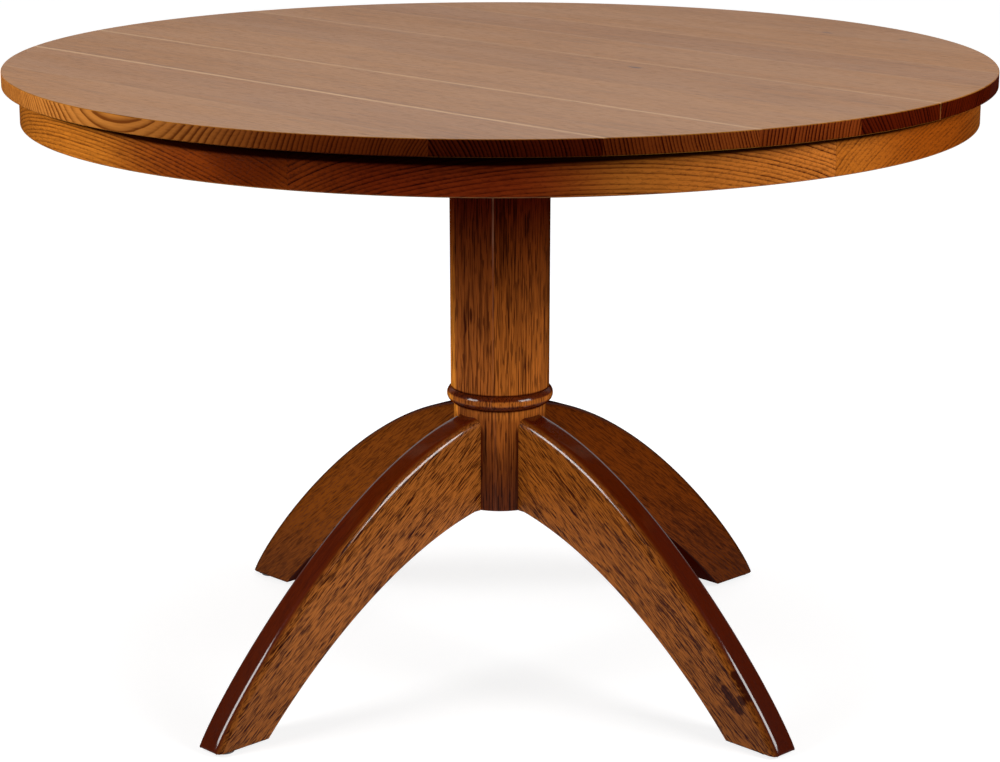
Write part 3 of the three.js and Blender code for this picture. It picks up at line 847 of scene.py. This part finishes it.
def sweep(start, start_slope, start_fullness, end, end_slope, end_fullness):
    """A curve that leaves and arrives at the given downward slopes, run on straight past its
    ends. It gives the point and the unit tangent at t."""
    run_on = 0.5  # metres past an end for each unit of t

    def along(slope):
        return Vector((math.cos(math.radians(slope)), -math.sin(math.radians(slope))))

    a, d = Vector(start), Vector(end)
    b = a + along(start_slope) * start_fullness
    c = d - along(end_slope) * end_fullness

    def at(t):
        s = min(max(t, 0.0), 1.0)
        point = (1 - s) ** 3 * a + 3 * (1 - s) ** 2 * s * b + 3 * (1 - s) * s * s * c + s ** 3 * d
        run = (1 - s) ** 2 * (b - a) + 2 * (1 - s) * s * (c - b) + s * s * (d - c)
        tangent = run.normalized()
        return point + tangent * (t - s) * run_on, tangent

    return at


def eased_edge(radius, steps):
    """A leg's rounded edge, from its arch or back to its side, as (half width, inset)."""
    flat = leg_width / 2 - radius
    angles = [math.pi / 2 * i / steps for i in range(steps + 1)]
    return [(flat + radius * math.sin(a), radius * (1 - math.cos(a))) for a in angles]


def leg_section(arch_point, arch_run, back_point, back_run):
    """The loop round a leg from its arch to its back, with the back's edges rounded over."""
    flat_steps, side_steps = 3, 10
    arris, over = eased_edge(leg_arris, 3), eased_edge(leg_round, 10)
    down = Vector((arch_run.y, -arch_run.x))
    up = Vector((-back_run.y, back_run.x))
    half = [(arris[0][0] * i / flat_steps, arch_point) for i in range(flat_steps)]
    half += [(w, arch_point - down * inset) for w, inset in arris]
    low_end, high_end = half[-1][1], back_point - up * leg_round
    for i in range(1, side_steps):
        half.append((leg_width / 2, low_end.lerp(high_end, i / side_steps)))
    half += [(w, back_point - up * inset) for w, inset in reversed(over)]
    half += [(over[0][0] * (1 - i / flat_steps), back_point) for i in range(1, flat_steps + 1)]
    mirrored = [(-w, p) for w, p in reversed(half[1:-1])]
    return [(p.x, w, p.y) for w, p in half + mirrored]


def leg_body():
    """A leg as a loft between its arch and its back."""
    back = sweep(shoulder, shoulder_slope, shoulder_fullness, toe, toe_slope, toe_fullness)
    arch = sweep(arch_start, arch_slope, arch_fullness, heel, heel_slope, heel_fullness)
    # The loft starts inside the hub and runs on below the floor, and both ends are cut off later.
    inner = hub_radius - dovetail_depth
    climb = (shoulder[0] - inner) * math.tan(math.radians(shoulder_slope))
    in_hub = Vector((inner, hub_bottom)), Vector((1, 0)), Vector((inner, shoulder[1] + climb))
    loops = [leg_section(*in_hub, back(0.0)[1])]
    for t in [i / leg_stations for i in range(leg_stations + 1)] + [1.04, 1.08]:
        loops.append(leg_section(*arch(t), *back(t)))
    bm = skinned(loops)
    trim_foot(bm, back)
    return bm


def trim_foot(bm, back):
    """Cuts the foot level, eases its toe and breaks the new edges."""
    ease_low = Vector((toe[0] - toe_ease, foot_low))
    ease_high = Vector(toe) - back(1.0)[1] * toe_ease
    face = (ease_high - ease_low).normalized()
    level = Vector((0, 0, foot_low)), Vector((0, 0, -1))
    eased = Vector((ease_low.x, 0, ease_low.y)), Vector((face.y, 0, -face.x))
    for plane in (level, eased):
        cut_away(bm, *plane)
    near = {
        v for v in bm.verts
        if any(abs((v.co - point).dot(normal)) < ON_PLANE for point, normal in (level, eased))
    }
    crease = math.radians(20)
    edges = [e for e in bm.edges if set(e.verts) <= near and e.calc_face_angle(0) > crease]
    bmesh.ops.bevel(bm, geom=edges, offset=leg_arris, segments=3, profile=0.5, affect="EDGES")


def fallen(point):
    """A place on a leg as its grain has it."""
    return tuple(Matrix.Rotation(-leg_grain_fall, 3, "Y") @ Vector(point))


def leg_painted_shade(g, colour):
    """Painted shade under the arch and low on the foot."""
    spot, facing = g.place(), g.normal()
    under = g.span(g.xyz(facing)[2], -0.6, -0.15, 0.8, 0.0)
    low = g.span(g.xyz(spot)[2], 0.0, 0.17, 0.38, 0.0)
    return g.mix(g.math("MAXIMUM", under, low), colour, toned(LEG_DARK, 0.6))


def front_leg_dull(g):
    """The finish of the front legs does not shine where it turns away low on the leg."""
    return g.math("MAXIMUM", turned_dull(g), g.span(g.xyz(g.place())[2], 0.16, 0.22))


# The ragged knot near the right front foot, as cores on a side of the leg: along X, across, up,
# then their reach along and across the grain.
FOOT_KNOT = (
    (0.3991, -0.021, 0.0672, 0.0070, 0.0055), (0.4070, -0.021, 0.0606, 0.0085, 0.0065),
    (0.4150, -0.021, 0.0540, 0.0085, 0.0070), (0.4229, -0.021, 0.0475, 0.0075, 0.0060),
    (0.4138, -0.019, 0.0894, 0.0075, 0.0060), (0.4217, -0.019, 0.0829, 0.0085, 0.0065),
    (0.4295, -0.019, 0.0763, 0.0085, 0.0070), (0.4359, -0.019, 0.0681, 0.0080, 0.0070),
    (0.4271, -0.021, 0.0612, 0.0075, 0.0055),
)


def leg_pieces():
    """Four legs of one shape, each scribed to the hub with a dovetail tongue."""
    body = leg_body()
    hub = lathe([(hub_radius, 0), (hub_radius, board_low)], post_steps)
    tongue = prism(dovetail(hub_radius + tongue_overlap, 0), dovetail_low, dovetail_high)
    leg = combined(body, [("DIFFERENCE", hub), ("UNION", tongue)])
    looks = {
        1: dict(pith=(0.10, 0.02), tone=(0.93, 0.84, 0.61), knots=[
            (fallen(core[:3]), *core[3:]) for core in FOOT_KNOT]),
        # The back legs are much darker: painted shade.
        2: dict(pith=(-0.09, 0.03), tone=(0.37, 0.23, 0.09)),
        3: dict(pith=(0.08, -0.05), tone=(0.54, 0.42, 0.25)),
        4: dict(pith=(-0.10, -0.02), tone=(1.05, 1.00, 0.91)),
    }
    for number, look in looks.items():
        front = number in (1, 4)
        # The legs' narrow faces take painted shade from the top as well as their deeper stain.
        edge_shaded_light = toned(LEG_EDGE_SHADED_LIGHT, 0.85) if number == 1 else LEG_EDGE_SHADED_LIGHT
        material = wood(
            f"stained_leg_{number}", grain_turned((0, -leg_grain_fall, 0)),
            seed=400.0 + 10 * number, light=LEG_LIGHT, dark=LEG_DARK, ring=0.0050, contrast=0.14,
            streaks=0.82 if front else 0.45, fibre_scale=(38, 700), fleck=1.0 if front else 0.55,
            fleck_size=(0.012, 0.0008), cover=0.85, shine=0.28, depth=0.00003, marks=leg_painted_shade,
            sawn=Sawn("Y", 0.35, 0.95, 0.20, edge_shaded_light, LEG_EDGE_SHADED_DARK), edge=0.7,
            dull=front_leg_dull if front else turned_dull, Specular_IOR_Level=0.03,
            Coat_Weight=1.0 if front else 0.2, Coat_Roughness=0.10, **look,
        )
        turn = (number - 1) * math.pi / 2
        piece(f"stained_leg_{number}", leg.copy(), material, f"leg_{number}", turn)
    leg.free()


# ---- Hidden pieces and metal ----

def raw_wood(name, place, pith, seed):
    """Planed and unfinished wood of the bearers and the wedge."""
    return wood(
        name, place, pith, seed, rgb(0.55, 0.36, 0.19), rgb(0.30, 0.16, 0.07), ring=0.0040,
        contrast=0.5, fleck=0.35, shine=0.62, depth=0.00015,
    )


def steel(name, colour, roughness, seed):
    """Brushed steel with a few duller stains."""
    g = Graph(bpy.data.materials.new(name))
    place = g.place()
    brushed = g.noise(place, (90, 90, 900), seed, 3.0)
    stains = g.noise(place, (60, 60, 60), seed + 2, 3.0)
    stained = rgb(*(c * 0.55 for c in colour[:3]))
    shade = g.mix(g.span(stains, 0.35, 0.75, 0.0, 0.45), colour, stained)
    gloss = g.span(brushed, 0.3, 0.7, roughness - 0.08, roughness + 0.12)
    return g.finish(shade, gloss, brushed, 0.00002, Metallic=1.0)


def cad_finish(node, material):
    """Puts a material on a CAD node that shows as it is."""
    slots = frame["nodes"][node].data.materials
    slots.clear()
    slots.append(material)


def glide_pieces():
    """Nail-on glides under the feet."""
    low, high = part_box("glide_1")
    radius = (high.y - low.y) / 2
    centre = ((low.x + high.x) / 2, (low.y + high.y) / 2)
    edge = 0.001
    nail = 0.0015
    nail_point = 0.003
    metal = steel("glide_steel", rgb(0.55, 0.55, 0.56), 0.50, 71)
    profile = [
        *arc((radius - edge, edge), edge, -90, 0, 4),
        *arc((radius - edge, foot_low - edge), edge, 0, 90, 4),
        (nail, foot_low),
        (nail, high.z - nail_point),
        (nail / 10, high.z),
    ]
    for number in range(1, 5):
        bm = lathe(profile, 64)
        bmesh.ops.translate(bm, verts=bm.verts[:], vec=(*centre, 0))
        turn = (number - 1) * math.pi / 2
        piece(f"foot_glide_{number}", bm, metal, f"glide_{number}", turn)


def hidden_pieces():
    """Raw wood and bare steel on the pieces that keep their CAD solids."""
    quarter = math.pi / 2
    # The turn that lays each piece's grain along X, its pith and its seed.
    raw = {
        "bearer_along_boards": ((0, 0, 0), (0.03, 0.60), 510),
        "bearer_across_boards": ((0, 0, -quarter), (-0.02, 0.62), 520),
        "tenon_wedge": ((0, quarter, 0), (0.1, 0.0), 530),
    }
    for node, (turn, pith, seed) in raw.items():
        cad_finish(node, raw_wood(f"raw_{node}", grain_turned(turn), pith, seed))
    zinc = steel("zinc_steel", rgb(0.62, 0.60, 0.55), 0.35, 73)
    sheet = steel("sheet_steel", rgb(0.30, 0.30, 0.31), 0.45, 75)
    for node in frame["nodes"]:
        if "screw" in node:
            cad_finish(node, zinc)
    cad_finish("base_plate", sheet)


# ---- Studio ----

# The camera's place about the post: compass angle, distance out and height.
CAMERA_ANGLE = math.radians(-44.343)
CAMERA_DISTANCE = 3.2547
CAMERA_HEIGHT = 1.213
CAMERA_PITCH = math.radians(14.60)
CAMERA_LENS = 96.19

FLOOR_REACH = 40

# Levels of the stray light: GLOW and FILL light the wood's colour, each MIRROR is what its shine
# sees, and SEEN is what the camera sees.
FLOOR_GLOW, FLOOR_MIRROR = 1.35, 0.01
FRONT_MIRROR, BACKDROP_MIRROR = 0.02, 0.54
WORLD_FILL, BACKDROP_SEEN = 0.02, 1.0


def floor():
    """A pale floor, white to the camera where no shadow falls and bright below the table."""
    bm = bmesh.new()
    corners = ((-1, -1), (1, -1), (1, 1), (-1, 1))
    bm.faces.new([bm.verts.new((FLOOR_REACH * x, FLOOR_REACH * y, 0)) for x, y in corners])
    plane = loose(bm, "floor")
    g = Graph(bpy.data.materials.new("pale_floor"))
    x, y, _ = g.xyz(g.place())
    distance = g.math("SQRT", g.math("ADD", g.math("MULTIPLY", x, x), g.math("MULTIPLY", y, y)))
    grit = g.noise(g.place(), (60, 60, 60), 3.0, 2.0)
    matt = g.node("BsdfDiffuse", Color=g.mix(grit, rgb(0.34, 0.34, 0.34), rgb(0.36, 0.36, 0.36)))
    lift = g.node("Emission", Strength=g.span(distance, 0.6, 2.2, 0.80, 1.0))
    seen = g.nodes.new("ShaderNodeAddShader")
    g.feed(seen.inputs[0], matt)
    g.feed(seen.inputs[1], lift)
    glow = g.node("Emission", Strength=g.span(distance, 0.25, 1.05, FLOOR_GLOW, 0.06))
    mirrored = g.node("Emission", Strength=g.span(distance, 0.50, 0.80, 0.12, FLOOR_MIRROR))
    unseen = g.split("Is Glossy Ray", mirrored, glow)
    g.node("OutputMaterial", Surface=g.split("Is Camera Ray", seen.outputs[0], unseen))
    plane.data.materials.append(g.owner)


def world():
    """A dim studio with a lit white backdrop behind the table, white to the camera."""
    studio = bpy.data.worlds.new("studio")
    bpy.context.scene.world = studio
    g = Graph(studio)
    direction = g.nodes.new("ShaderNodeTexCoord").outputs["Generated"]
    behind_table = (-math.cos(CAMERA_ANGLE), -math.sin(CAMERA_ANGLE), 0)
    ahead = g.span(g.vector("DOT_PRODUCT", direction, behind_table), 0.62, 0.90)
    above = g.span(g.xyz(direction)[2], 0.0, 0.06)
    level = g.span(g.math("MULTIPLY", ahead, above), 0.0, 1.0, FRONT_MIRROR, BACKDROP_MIRROR)
    mirrored = g.node("Background", Color=WHITE, Strength=level)
    fill = g.node("Background", Color=WHITE, Strength=WORLD_FILL)
    backdrop = g.node("Background", Color=WHITE, Strength=BACKDROP_SEEN)
    unseen = g.split("Is Glossy Ray", mirrored, fill)
    g.node("OutputWorld", Surface=g.split("Is Camera Ray", backdrop, unseen))


def soft_box(name, angle, distance, height, aim_height, width, tall, power):
    """A soft box at an angle to the right of the camera, as seen from above."""
    data = bpy.data.lights.new(name, "AREA")
    data.shape = "RECTANGLE"
    data.size, data.size_y = width, tall
    data.energy = power
    lamp = bpy.data.objects.new(name, data)
    bpy.context.scene.collection.objects.link(lamp)
    compass = CAMERA_ANGLE + math.radians(angle)
    lamp.location = (distance * math.cos(compass), distance * math.sin(compass), height)
    aim = Vector((0, 0, aim_height)) - lamp.location
    lamp.rotation_euler = aim.to_track_quat("-Z", "Y").to_euler()
    lamp.visible_camera = False


def lights():
    """Soft boxes on both sides of the camera, overhead and behind the table."""
    soft_box("right_box", 58, 1.8, 1.25, 0.45, 0.9, 0.85, 27)
    soft_box("left_box", -64, 1.8, 1.25, 0.45, 0.8, 0.85, 24)
    soft_box("overhead_box", 180, 0.6, 3.0, 0.7, 2.0, 2.0, 52)
    soft_box("back_box", 180, 2.0, 3.0, 0.7, 2.0, 1.0, 8)


def camera():
    """The photo's camera, as fitted to the outlines of the table."""
    data = bpy.data.cameras.new("camera")
    data.lens = CAMERA_LENS
    data.sensor_width = 36
    data.clip_end = 200
    made = bpy.data.objects.new("camera", data)
    bpy.context.scene.collection.objects.link(made)
    made.location = (
        CAMERA_DISTANCE * math.cos(CAMERA_ANGLE),
        CAMERA_DISTANCE * math.sin(CAMERA_ANGLE),
        CAMERA_HEIGHT,
    )
    made.rotation_euler = (math.pi / 2 - CAMERA_PITCH, 0, CAMERA_ANGLE + math.pi / 2)
    bpy.context.scene.camera = made


camera()
top_pieces()
apron_pieces()
post_pieces()
leg_pieces()
glide_pieces()
hidden_pieces()
floor()
world()
lights()

scene = bpy.context.scene
scene.view_settings.view_transform = "Standard"
